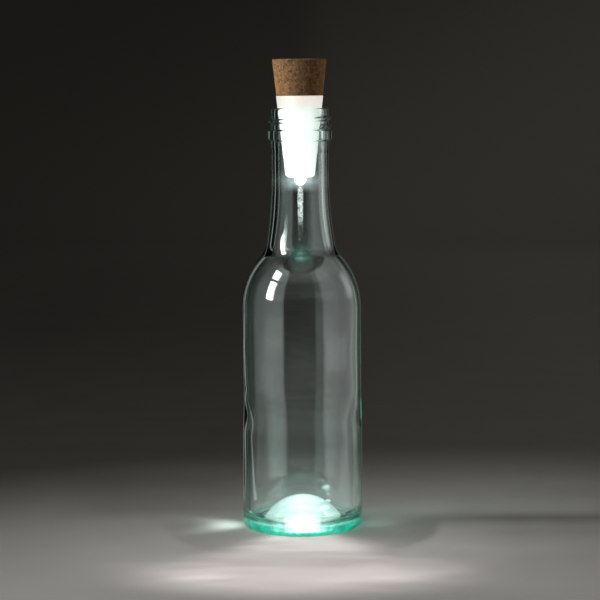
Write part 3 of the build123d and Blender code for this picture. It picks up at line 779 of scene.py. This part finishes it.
def glass_material(sizes):
    """Pale aqua-green moulded glass that shows the light's glow in its foot and neck."""
    material, nodes, output = new_material("bottle_glass")
    where, x, radius, z = nodes.place()
    facing = nodes.facing()
    ripple = nodes.noise(where, 60.0, 2.0, 0.4)
    speck = nodes.noise(where, 900.0, 1.0)
    chatter = nodes.noise(nodes.stretched(where, (70, 70, 1500)), 1.0)
    bore = nodes.times(nodes.span(z, *mm(122, 130)), nodes.fade(radius, *mm(10.6, 11.2)))
    height = nodes.plus(
        nodes.times(ripple, 0.5), nodes.times(speck, nodes.fade(z, *mm(3, 9)), 0.35),
        nodes.times(chatter, bore, 0.35))
    # Painted glow of the neck and of the wall's edges, added to the glass's emission below.
    painted_wall_glow = nodes.both(neck_light(nodes, where, x, radius, z, facing), edge_light(nodes, x, z, facing))
    glow = nodes.both(
        punt_light(nodes, where, radius, z, facing, sizes), foot_light(nodes, where, radius, z, facing))
    thick = nodes.times(nodes.fade(z, *mm(3.6, 6.2)), nodes.span(radius, *mm(21, 23)))
    lip = nodes.times(nodes.fade(z, *mm(0.6, 1.6)), nodes.span(radius, *mm(22.4, 23)))
    # The thick foot takes its own tint, with painted shade that darkens it as the surface turns edge on, and
    # a darker teal at the bottom rim.
    ring_tint_and_shade = nodes.mix(lip, nodes.ramp(facing, *RING_TINT_AND_SHADE), (0.02, 0.34, 0.24))
    shader = nodes.add("ShaderNodeBsdfPrincipled", {
        "Base Color": nodes.mix(thick, (1, 1, 1), ring_tint_and_shade), "Roughness": 0.0, "IOR": 1.52,
        "Transmission Weight": 1.0, "Emission Color": nodes.both(glow, painted_wall_glow), "Emission Strength": 1.0,
        "Normal": nodes.bump(height, 0.16 * MM, 0.5)})
    clear = nodes.mix(nodes.span(z, *mm(50, 62), 0.48, 0.0), nodes.ramp(facing, *SHADOW_TINT), BLACK)
    lamp_ray = nodes.add("ShaderNodeLightPath").outputs["Is Shadow Ray"]
    through = nodes.add("ShaderNodeBsdfTransparent", {"Color": clear})
    both = nodes.add("ShaderNodeMixShader", {0: lamp_ray, 1: shader.outputs[0], 2: through.outputs[0]})
    dye = nodes.add("ShaderNodeVolumeAbsorption", {"Color": tuple(sizes.tint), "Density": sizes.tint_density})
    nodes.tree.links.new(both.outputs[0], output.inputs["Surface"])
    nodes.tree.links.new(dye.outputs[0], output.inputs["Volume"])
    return material


class AddBottle(bpy.types.Operator):
    """Glass bottle with a screw finish, settle wave, punt and knurled foot"""

    bl_idname = "bottle_light.add_bottle"
    bl_label = "Glass bottle"
    bl_options = {"REGISTER", "UNDO"}

    def execute(self, context):
        sizes = context.scene.bottle_sizes
        piece = turned_piece("glass_bottle", bottle_outline(sizes), 216)
        shape_bottle(piece, sizes)
        give(piece, "bottle", "bottle_glass", glass_material(sizes), "bottle")
        return {"FINISHED"}


def plug_radius(height):
    """Outer radius of the plug's cone at a height, from the shell's own box."""
    high = shell_box[1]
    slope = (cork_box[1].x - high.x) / (cork_box[1].z - high.z)
    return high.x + slope * (height - high.z)


def plug_material(light):
    """Frosted white plastic that glows from inside, brightest below the mouth."""
    material, nodes, output = new_material("plug_plastic")
    where, x, radius, z = nodes.place()
    cloud = nodes.noise(where, 220.0, 4.0)
    lit = tuple(1.1 * part for part in light.glow)
    band = nodes.ramp(
        nodes.span(z, MOUTH - 32 * MM, MOUTH + 5.2 * MM), (0.0, (1.25, 1.25, 1.25)), (0.30, lit),
        (0.78, (0.94, 0.94, 0.90)), (0.86, (0.84, 0.81, 0.75)), (1.0, (0.80, 0.74, 0.67)))
    # Painted shade on the glow: dimmer towards the right side, most of all inside the mouth, and dimmer at
    # the left edge.
    right_shade_level = nodes.span(z, MOUTH - 1.5 * MM, MOUTH, 0.45, 0.85)
    shade = nodes.times(nodes.span(x, *mm(4, 8), 1.0, right_shade_level), nodes.span(x, *mm(-9, -3), 0.55, 1.0))
    uneven = nodes.times(nodes.patchy(cloud, 0.93, 1.0), shade)
    nodes.surface(output, {
        "Base Color": (0.52, 0.51, 0.49), "Roughness": 0.38, "Emission Strength": 1.0,
        "Emission Color": nodes.mix(1.0, band, nodes.levels(uneven, ((0.0, 0), (1.0, 1))), "MULTIPLY"),
        "Normal": nodes.bump(cloud, 0.03 * MM)})
    return material


class AddPlug(bpy.types.Operator):
    """Translucent tapered plug that seats in the bottle's mouth"""

    bl_idname = "bottle_light.add_plug"
    bl_label = "Plug"
    bl_options = {"REGISTER", "UNDO"}

    def execute(self, context):
        light = context.scene.light_sizes
        tip, top = shell_box[0].z, shell_box[1].z
        inside = tip + 1.5 * MM
        hole, sleeve = mm(2.6, 3.6)
        sleeve_top = lens_box[1].z - 1.05 * MM
        wall = 1.3 * MM
        rebate = plug_radius(top) - 0.95 * MM
        ledge = top - 1.5 * MM
        path = Outline(hole, sleeve_top)
        path.line(hole, tip + 0.3 * MM)
        path.line(hole + 0.3 * MM, tip)
        path.line(plug_radius(tip), tip, MM).corner(1.4 * MM, 8)
        path.line(plug_radius(top), top, 1.5 * MM).corner(0.18 * MM, 3)
        path.line(rebate, top).line(rebate, ledge)
        path.line(plug_radius(ledge) - wall, ledge)
        path.line(plug_radius(inside) - wall, inside, 4 * MM)
        path.line(sleeve, inside).line(sleeve, sleeve_top).line(hole, sleeve_top)
        piece = turned_piece("light_plug", path.finished(), 120)
        bpy.ops.object.shade_smooth_by_angle(angle=SHARP_ANGLE)
        give(piece, "light_unit", "plug_plastic", plug_material(light), "body_shell")
        return {"FINISHED"}


def epoxy_material():
    """Clear epoxy of the LED, blown out by its own light."""
    material, nodes, output = new_material("led_epoxy")
    where, x, radius, z = nodes.place()
    core = nodes.times(
        nodes.span(radius, *mm(0, 2.6), 1.0, 0.25), nodes.span(z, lens_box[0].z, lens_box[1].z, 1.0, 0.5))
    nodes.surface(output, {
        "Base Color": (0.95, 0.98, 1), "Roughness": nodes.patchy(nodes.noise(where, 500.0), 0.08, 0.16),
        "Emission Color": nodes.ramp(core, (0.0, (0.5, 0.6, 0.62)), (1.0, (1, 1, 1))),
        "Emission Strength": 14.0, "Coat Weight": 0.6})
    return material


class AddLens(bpy.types.Operator):
    """Round LED in the plug's tip"""

    bl_idname = "bottle_light.add_lens"
    bl_label = "LED"
    bl_options = {"REGISTER", "UNDO"}

    def execute(self, context):
        low, high = lens_box
        barrel = 2.5 * MM
        flange = high.y
        flange_low = high.z - MM
        path = Outline(0, low.z)
        path.arc(barrel, low.z + barrel, OUT, 10)
        path.line(barrel, flange_low, MM)
        path.line(flange, flange_low).line(flange, high.z).line(0, high.z, MM)
        piece = turned_piece("led_dome", path.finished(), 64)
        bpy.ops.object.mode_set(mode="EDIT")
        bpy.ops.mesh.select_all(action="SELECT")
        bpy.ops.mesh.bisect(plane_co=(high.x, 0, 0), plane_no=(1, 0, 0), clear_outer=True, use_fill=True)
        bpy.ops.object.mode_set(mode="OBJECT")
        bpy.ops.object.shade_smooth_by_angle(angle=SHARP_ANGLE)
        give(piece, "light_unit", "led_epoxy", epoxy_material(), "led_lens")
        return {"FINISHED"}


def cork_material(light):
    """Agglomerated cork: pressed granules of mixed browns with dark seams, pits that are painted dark as
    shade, and specks.
    """
    material, nodes, output = new_material("cork")
    where = nodes.here()
    wobble = nodes.add("ShaderNodeTexNoise", {"Vector": where, "Scale": 700.0, "Detail": 3.0})
    push = nodes.scaled(wobble.outputs["Color"], 0.0009)
    bent = nodes.add("ShaderNodeVectorMath", {0: where, 1: push}, operation="ADD").outputs[0]
    scale = 1 / light.granule_size

    def cells(vector, density, feature="F1"):
        inputs = {"Vector": vector, "Scale": density}
        return nodes.add("ShaderNodeTexVoronoi", inputs, feature=feature).outputs

    def part(colour, channel):
        return nodes.add("ShaderNodeSeparateColor", {"Color": colour}).outputs[channel]

    fine = nodes.noise(where, 2600.0, 5.0, 0.7)
    tone = nodes.plus(
        nodes.times(part(cells(bent, scale)["Color"], 0), 0.5),
        nodes.times(part(cells(bent, scale * 2.7)["Color"], 1), 0.3), nodes.times(fine, 0.3))
    pale, dark = tuple(light.cork_light), tuple(light.cork_dark)
    middle = tuple((a * 0.62 + b * 0.38) for a, b in zip(pale, dark))
    warm = (middle[0] * 1.05, middle[1] * 0.82, middle[2] * 0.66)
    colour = nodes.ramp(tone, (0.20, dark), (0.38, warm), (0.50, middle), (0.72, pale))
    seam = nodes.fade(cells(bent, scale, "DISTANCE_TO_EDGE")["Distance"], 0.0, 0.07)
    colour = nodes.mix(nodes.times(seam, 0.65), colour, dark)
    # Pits: dipped by the bump below and painted near black, as shade inside them.
    shaded_pit = nodes.fade(cells(where, scale * 1.3)["Distance"], 0.10, 0.20)
    colour = nodes.mix(nodes.times(shaded_pit, 0.7), colour, tuple(shade * 0.4 for shade in dark))
    height = nodes.minus(nodes.minus(nodes.times(fine, 0.5), nodes.times(seam, 0.35)), nodes.times(shaded_pit, 0.5))
    nodes.surface(output, {
        "Base Color": colour, "Roughness": nodes.patchy(fine, 0.72, 0.92), "Sheen Weight": 0.15,
        "Sheen Roughness": 0.5, "Normal": nodes.bump(height, 0.26 * MM)})
    return material


class AddCork(bpy.types.Operator):
    """Tapered cork cap with pressed granules, pits and a worn rim"""

    bl_idname = "bottle_light.add_cork"
    bl_label = "Cork cap"
    bl_options = {"REGISTER", "UNDO"}

    def execute(self, context):
        light = context.scene.light_sizes
        low, high = cork_box[0].z, cork_box[1].z
        bore = 8.8 * MM
        bore_top = high - 1.4 * MM
        coarse, fine = mm(4, 0.3)
        path = Outline(0, high)
        path.line(plug_radius(high), high, fine).corner(0.6 * MM, 5)
        path.line(plug_radius(low), low, fine).corner(0.12 * MM, 2)
        path.line(bore, low, 0.7 * MM).line(bore, bore_top, coarse).line(0, bore_top, coarse)
        piece = turned_piece("cork_stopper", path.finished(), 230)
        outside = piece.vertex_groups.new(name="outside")
        for vertex in piece.data.vertices:
            x, y, z = vertex.co
            skin = math.hypot(x, y) > plug_radius(z) - 0.7 * MM or z > high - 0.5 * MM
            if skin and z > low + 0.25 * MM:
                outside.add([vertex.index], 1.0, "REPLACE")
        for name, kind, size, depth in (
            ("granules", "VORONOI", *mm(1.7, 0.16)),
            ("crumbs", "CLOUDS", *mm(0.5, 0.12)),
        ):
            texture = bpy.data.textures.new(name, kind)
            texture.noise_scale = size
            push = piece.modifiers.new(name, "DISPLACE")
            push.texture = texture
            push.texture_coords = "LOCAL"
            push.strength = -depth
            push.mid_level = 0.0
            push.vertex_group = "outside"
            bpy.ops.object.modifier_apply(modifier=push.name)
        give(piece, "cap", "cork", cork_material(light), "cork_cap")
        return {"FINISHED"}


class FinishPlugTop(bpy.types.Operator):
    """Deck, USB plug, switch knob and cap liner, with eased edges and their own finishes"""

    bl_idname = "bottle_light.finish_plug_top"
    bl_label = "Parts under the cap"
    bl_options = {"REGISTER", "UNDO"}

    def execute(self, context):
        steel = ((0.62, 0.62, 0.63), 0.30, 1500, 0.16, 0.01 * MM, 1.0, 0.4)
        gold = ((0.90, 0.62, 0.22), 0.22, 1200, 0.10, 0.005 * MM, 1.0)
        for node, body, bevel, slot, finish in (
            ("deck", "light_unit", 0.08 * MM, "deck_plastic", ((0.80, 0.79, 0.76), 0.42, 700, 0.05)),
            ("usb_shell", "light_unit", 0.05 * MM, "usb_steel", steel),
            ("usb_tongue", "light_unit", 0.06 * MM, "tongue_plastic", ((0.82, 0.82, 0.80), 0.30, 600, 0.04)),
            ("usb_contacts", "light_unit", 0.05 * MM, "contact_gold", gold),
            ("switch_knob", "switch", 0.06 * MM, "switch_plastic", ((0.02, 0.02, 0.022), 0.50, 900, 0.2)),
            ("cap_liner", "cap", 0.10 * MM, "liner_plastic", ((0.76, 0.74, 0.69), 0.48, 500, 0.07)),
        ):
            give(kept_copy(node, bevel), body, slot, grained(slot, *finish), node)
        return {"FINISHED"}


class FinishInside(bpy.types.Operator):
    """Finishes of the board, battery, switch and leads inside the plug"""

    bl_idname = "bottle_light.finish_inside"
    bl_label = "Parts inside the plug"
    bl_options = {"REGISTER", "UNDO"}

    def execute(self, context):
        finishes = {
            "circuit_board": grained("board_green", (0.02, 0.16, 0.06), 0.35, 1200, 0.15),
            "charger_chip": grained("chip_black", (0.02, 0.02, 0.022), 0.55, 1500, 0.2),
            "resistors": grained("resistor_black", (0.03, 0.03, 0.035), 0.35, 1500, 0.2),
            "capacitors": grained("capacitor_tan", (0.45, 0.31, 0.17), 0.45, 1500, 0.15),
            "charge_indicator": grained("indicator_resin", (0.7, 0.12, 0.07), 0.2, 900, 0.08),
            "battery_cell": grained("cell_foil", (0.70, 0.71, 0.73), 0.32, 500, 0.12, 0.03 * MM, 1.0),
            "battery_tabs": grained("tab_nickel", (0.60, 0.59, 0.55), 0.35, 1500, 0.12, 0.01 * MM, 1.0),
            "foam_tape": grained("foam_white", (0.80, 0.80, 0.78), 0.85, 1800, 0.14, 0.05 * MM),
            "switch_housing": grained("switch_steel", (0.62, 0.62, 0.62), 0.33, 1300, 0.12, 0.01 * MM, 1.0),
            "switch_actuator": bpy.data.materials["switch_plastic"],
        }
        tin = grained("lead_tin", (0.68, 0.69, 0.70), 0.28, 1600, 0.10, 0.008 * MM, 1.0)
        finishes.update(dict.fromkeys(("chip_legs", "led_leads", "switch_terminals"), tin))
        for node, material in finishes.items():
            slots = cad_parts[node].material_slots
            if not slots:
                raise RuntimeError(f"{node} has no material slot")
            for slot in slots:
                slot.material = material
        return {"FINISHED"}


def towards(azimuth, elevation, distance):
    """Place at a distance from the bottle's middle, by degrees left of the camera's side and degrees up."""
    side, up = math.radians(azimuth), math.radians(elevation)
    way = Vector((-math.sin(side) * math.cos(up), -math.cos(side) * math.cos(up), math.sin(up)))
    return MIDDLE + distance * way


def add_lamp(kind, name, place, power, colour=(1, 1, 1), **settings):
    """Lamp of a kind that the glass doesn't mirror."""
    start_clean()
    bpy.ops.object.light_add(type=kind, location=place)
    lamp = bpy.context.object
    lamp.name = name
    lamp.data.energy = power
    lamp.data.color = colour
    for key, value in settings.items():
        setattr(lamp.data, key, value)
    lamp.visible_glossy = lamp.visible_transmission = False
    return lamp


def soft_light(name, angles, distance, size, radiance, mirrored=False):
    """Soft light that shines at the bottle's middle, or a card that only the glass mirrors."""
    width, height = size
    place = towards(*angles, distance)
    lamp = add_lamp(
        "AREA", name, place, radiance * math.pi * width * height, (1, 0.985, 0.95),
        shape="RECTANGLE", size=width, size_y=height)
    lamp.rotation_euler = (MIDDLE - place).to_track_quat("-Z", "Y").to_euler()
    lamp.visible_camera = False
    lamp.visible_glossy = lamp.visible_transmission = mirrored
    lamp.visible_diffuse = not mirrored


def add_studio_lights(stage):
    """Soft boxes at the front left, a narrow side light, mirrored cards and an overhead spot."""
    soft_light("key_fill", (62, 27), 0.85, (0.40, 0.40), stage.key_radiance)
    soft_light("side_rake", (93, 17), 1.5, (0.42, 0.42), stage.side_radiance)
    soft_light("rear_fill", (-115, 30), 1.0, (0.20, 0.20), stage.rear_radiance)
    soft_light("box_upper", (66, 41.5), 0.85, (0.21, 0.17), stage.box_radiance, mirrored=True)
    soft_light("box_lower", (66, 21.0), 0.85, (0.21, 0.34), stage.box_radiance, mirrored=True)
    for name, place, power, angle, size in (
        ("backdrop_glow", (0.66, 1.55, 1.24), stage.backdrop_glow, 104, 0.1),
        ("overhead", (0.05, -0.5, 1.2), stage.top_power, 62, 0.12),
    ):
        add_lamp(
            "SPOT", name, place, power, spot_size=math.radians(angle), spot_blend=1, shadow_soft_size=size)


def tent_material(stage):
    """Glow of a light tent round the bottle: panels at both sides, open at the camera and behind."""
    material, nodes, output = new_material("tent_glow")
    where = nodes.here()
    x, y, z = nodes.split(where)
    turn = nodes.math("DEGREES", nodes.math("ARCTAN2", nodes.times(x, -1.0), nodes.times(y, -1.0)))
    share = nodes.math("DIVIDE", nodes.plus(turn, 180), 360)
    level = nodes.levels(share, (((angle + 180) / 360, glow) for angle, glow in TENT_LEVELS))
    patch_left = nodes.times(nodes.window(z, *mm(42, 71, 1.2)), nodes.window(turn, 35, 84, 1))
    patch_right = nodes.times(nodes.window(z, *mm(52, 71, 3)), nodes.window(turn, -92, -45, 2))
    more = nodes.times(nodes.plus(patch_left, patch_right), 0.52)
    low = nodes.times(nodes.span(z, *mm(5, 24), 0.8, 0.0), nodes.window(turn, -88, 88, 8))
    neck_line = nodes.times(nodes.window(z, *mm(115, 178, 8)), nodes.window(turn, -118, -99, 2), 1.6)
    dip = nodes.times(nodes.window(z, *mm(20, 38, 3)), nodes.window(turn, -41, 92, 2), 0.42)
    edge = nodes.times(nodes.fade(z, *mm(18, 32)), nodes.window(turn, -166, -98, 3), 0.7)
    more = nodes.minus(nodes.minus(nodes.plus(more, neck_line), dip), edge)
    cloud = nodes.patchy(nodes.noise(where, 9.0), 0.9, 1.08)
    level = nodes.times(level, nodes.plus(more, 1.0, low), cloud)
    glow = nodes.add("ShaderNodeEmission", {"Strength": nodes.times(level, stage.tent_radiance)})
    clear = nodes.add("ShaderNodeBsdfTransparent")
    both = nodes.add("ShaderNodeAddShader", {0: glow.outputs[0], 1: clear.outputs[0]})
    nodes.tree.links.new(both.outputs[0], output.inputs["Surface"])
    material.cycles.emission_sampling = "NONE"
    return material


def inward_piece(name, path, material):
    """Piece of the stage, turned from an outline, whose normals look inwards."""
    piece = turned_piece(name, path.finished(), 96)
    bpy.ops.object.mode_set(mode="EDIT")
    bpy.ops.mesh.select_all(action="SELECT")
    bpy.ops.mesh.normals_make_consistent(inside=True)
    bpy.ops.object.mode_set(mode="OBJECT")
    piece.data.materials.append(material)
    return piece


def add_tent(stage):
    """Round screen whose glow only reflections and bent rays see."""
    radius = stage.tent_radius
    path = Outline(0.4 * radius, MM)
    path.line(radius, 40 * MM).line(radius, 300 * MM, 65 * MM)
    tent = inward_piece("light_tent", path, tent_material(stage))
    tent.visible_camera = tent.visible_diffuse = tent.visible_shadow = False


def lamp_rays(lamp):
    """Node tree of a lamp, its emission node, and the direction of its rays."""
    lamp.data.use_nodes = True
    nodes = Nodes(lamp.data.node_tree)
    emission = next(node for node in nodes.tree.nodes if node.type == "EMISSION")
    return nodes, emission, nodes.split(nodes.add("ShaderNodeTexCoord").outputs["Normal"])


def add_beam(stage, floor):
    """LED's beam, with a brighter rim as the bottle bends it."""
    half_angle = math.radians(45)
    beam = add_lamp(
        "SPOT", "led_beam", (0, 0, lens_box[0].z - MM), stage.beam_power, (1.0, 0.90, 0.92),
        spot_size=2 * half_angle, spot_blend=0.3, shadow_soft_size=1.5 * MM)
    nodes, emission, (x, y, z) = lamp_rays(beam)
    across = nodes.flat_distance(x, y)
    slope = nodes.math("DIVIDE", across, nodes.math("ABSOLUTE", z))
    rim = nodes.levels(nodes.math("DIVIDE", slope, math.tan(half_angle)), BEAM_RIM)
    drawn = nodes.add("ShaderNodeCombineXYZ", {"X": nodes.times(x, -2.5), "Y": nodes.times(y, 14.0)})
    streaks = nodes.noise(drawn.outputs[0], 1.6, 3.0)
    front = nodes.levels(nodes.span(nodes.math("DIVIDE", y, across), -1, 1), BEAM_AHEAD)
    front = nodes.times(front, nodes.span(x, -0.3, 0.3, 1.12, 0.94))
    level = nodes.times(nodes.patchy(streaks, 0.72, 1.25), front)
    nodes.put(nodes.scaled(rim, level), emission.inputs["Color"])
    blockers = bpy.data.collections.new("beam_blockers")
    blockers.objects.link(floor)
    beam.light_linking.blocker_collection = blockers
    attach(beam, "light_unit")


def add_punt_glow(stage):
    """Light that the punt scatters, with a bright lobe on the left and a weak one on the right."""
    glow = add_lamp(
        "POINT", "punt_glow", (0, 0, 21 * MM), stage.glow_power, (0.86, 1.0, 0.95), shadow_soft_size=3 * MM)
    glow.visible_camera = False
    nodes, emission, (x, y, z) = lamp_rays(glow)
    left = nodes.times(nodes.fade(x, -0.84, -0.78), nodes.span(x, -0.92, -0.86))
    right = nodes.times(nodes.span(x, 0.78, 0.84, 0.0, 0.12), nodes.fade(x, 0.86, 0.92))
    flat = nodes.span(nodes.math("ABSOLUTE", y), 0.0, 0.34, 60.0, 0.0)
    level = nodes.times(nodes.plus(left, right), flat)
    nodes.put(nodes.plus(level, 1.0), emission.inputs["Strength"])
    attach(glow, "bottle")


def floor_material(stage):
    """Plain pale floor with painted shade that darkens it away from the lit place in front of the bottle, and
    painted shadow, shade and light in patches near it.
    """
    material, nodes, output = new_material("floor_paper")
    where = nodes.here()
    side, depth = nodes.split(where)[:2]
    # Painted shade: away from a lit place in front of the bottle the floor's colour is blended towards the
    # dark backdrop colour.
    centre = (0.08, -0.26, 0)
    away = nodes.add("ShaderNodeVectorMath", {0: where, 1: centre}, operation="DISTANCE").outputs["Value"]
    inputs = {"Value": away, "From Min": 0.22, "From Max": 0.46}
    dark = nodes.add("ShaderNodeMapRange", inputs, interpolation_type="SMOOTHSTEP").outputs["Result"]
    # Painted shadow of the bottle in a band to its right, painted shade at the back left (left) and painted
    # light on the far floor at the right (far).
    broad = nodes.times(nodes.window(depth, *mm(-85, 75, 20)), 0.17)
    narrow = nodes.times(nodes.window(depth, *mm(1, 17, 8)), 0.38)
    shadow = nodes.times(nodes.plus(broad, narrow), nodes.span(side, *mm(35, 95)))
    left = nodes.times(nodes.window(depth, *mm(22, 110, 12)), nodes.window(side, *mm(-105, -30, 15)), 0.22)
    far = nodes.times(nodes.span(depth, *mm(110, 210)), nodes.span(side, *mm(-10, 50)), 0.28)
    shade = nodes.minus(nodes.plus(shadow, left), far)
    # Painted light and shade on the dark backdrop colour: brighter to the right near the bottle, brighter to
    # the left far back.
    wall = nodes.span(depth, 0.7, 1.5)
    painted_light_drift = nodes.plus(
        nodes.times(nodes.minus(1.0, wall), nodes.span(side, -0.2, 0.2, 0.72, 1.5)),
        nodes.times(wall, nodes.span(side, -0.5, 0.5, 1.45, 0.88)))
    backdrop = nodes.scaled(tuple(stage.shaded_backdrop_colour), painted_light_drift)
    colour = nodes.mix(dark, tuple(stage.floor_colour), backdrop)
    nodes.surface(output, {
        "Base Color": nodes.scaled(colour, nodes.minus(1.0, shade)), "Specular IOR Level": 0.2,
        "Roughness": nodes.patchy(nodes.noise(where, 30.0, 5.0), 0.6, 0.75)})
    return material


class AddStage(bpy.types.Operator):
    """Plain pale floor with a round cove, soft lights, the LED's beam and the camera"""

    bl_idname = "bottle_light.add_stage"
    bl_label = "Stage"
    bl_options = {"REGISTER", "UNDO"}

    def execute(self, context):
        scene = context.scene
        stage = scene.stage_sizes
        cove, wall, cove_top, wall_top = 1.6, 2.2, 0.6, 1.8
        path = Outline(0, 0)
        path.line(cove, 0, 0.1)
        path.arc(wall, cove_top, OUT, 12)
        path.line(wall, wall_top, 0.3)
        floor = inward_piece("studio_floor", path, floor_material(stage))
        add_studio_lights(stage)
        add_tent(stage)
        add_beam(stage, floor)
        add_punt_glow(stage)

        world = bpy.data.worlds.new("studio")
        world.use_nodes = True
        sky = world.node_tree.nodes["Background"]
        sky.inputs["Color"].default_value = (0.060, 0.058, 0.052, 1)
        sky.inputs["Strength"].default_value = 1.0
        scene.world = world
        scene.view_settings.view_transform = "Standard"

        start_clean()
        place = (-0.5 * MM, -stage.camera_distance, stage.camera_height)
        bpy.ops.object.camera_add(location=place, rotation=(math.pi / 2 - stage.camera_pitch, 0, 0))
        camera = context.object
        camera.rotation_euler.rotate_axis("Z", -stage.camera_roll)
        camera.data.lens = stage.camera_lens
        camera.data.sensor_width = 36
        camera.data.clip_start = 0.01
        camera.data.dof.use_dof = False
        scene.camera = camera
        return {"FINISHED"}


PIECE_OPERATORS = (AddBottle, AddPlug, AddLens, AddCork, FinishPlugTop, FinishInside, AddStage)


class BottleLightPanel(bpy.types.Panel):
    """Lists the pieces of the bottle light"""

    bl_idname = "VIEW3D_PT_bottle_light"
    bl_label = "Bottle light"
    bl_space_type = "VIEW_3D"
    bl_region_type = "UI"
    bl_category = "Bottle light"

    def draw(self, context):
        for operator in PIECE_OPERATORS:
            self.layout.operator(operator.bl_idname)
        for group in ("bottle_sizes", "light_sizes", "stage_sizes"):
            sizes = getattr(context.scene, group)
            column = self.layout.column()
            for name in sizes.bl_rna.properties.keys():
                if name not in ("rna_type", "name"):
                    column.prop(sizes, name)


CLASSES = (BottleSizes, LightSizes, StageSizes, *PIECE_OPERATORS, BottleLightPanel)


def register():
    for kind in CLASSES:
        bpy.utils.register_class(kind)
    bpy.types.Scene.bottle_sizes = bpy.props.PointerProperty(type=BottleSizes)
    bpy.types.Scene.light_sizes = bpy.props.PointerProperty(type=LightSizes)
    bpy.types.Scene.stage_sizes = bpy.props.PointerProperty(type=StageSizes)


def unregister():
    del bpy.types.Scene.stage_sizes
    del bpy.types.Scene.light_sizes
    del bpy.types.Scene.bottle_sizes
    for kind in reversed(CLASSES):
        bpy.utils.unregister_class(kind)


def main():
    register()
    bpy.ops.bottle_light.add_bottle()
    bpy.ops.bottle_light.add_plug()
    bpy.ops.bottle_light.add_lens()
    bpy.ops.bottle_light.add_cork()
    bpy.ops.bottle_light.finish_plug_top()
    bpy.ops.bottle_light.finish_inside()
    bpy.ops.bottle_light.add_stage()


if __name__ == "__main__":
    main()
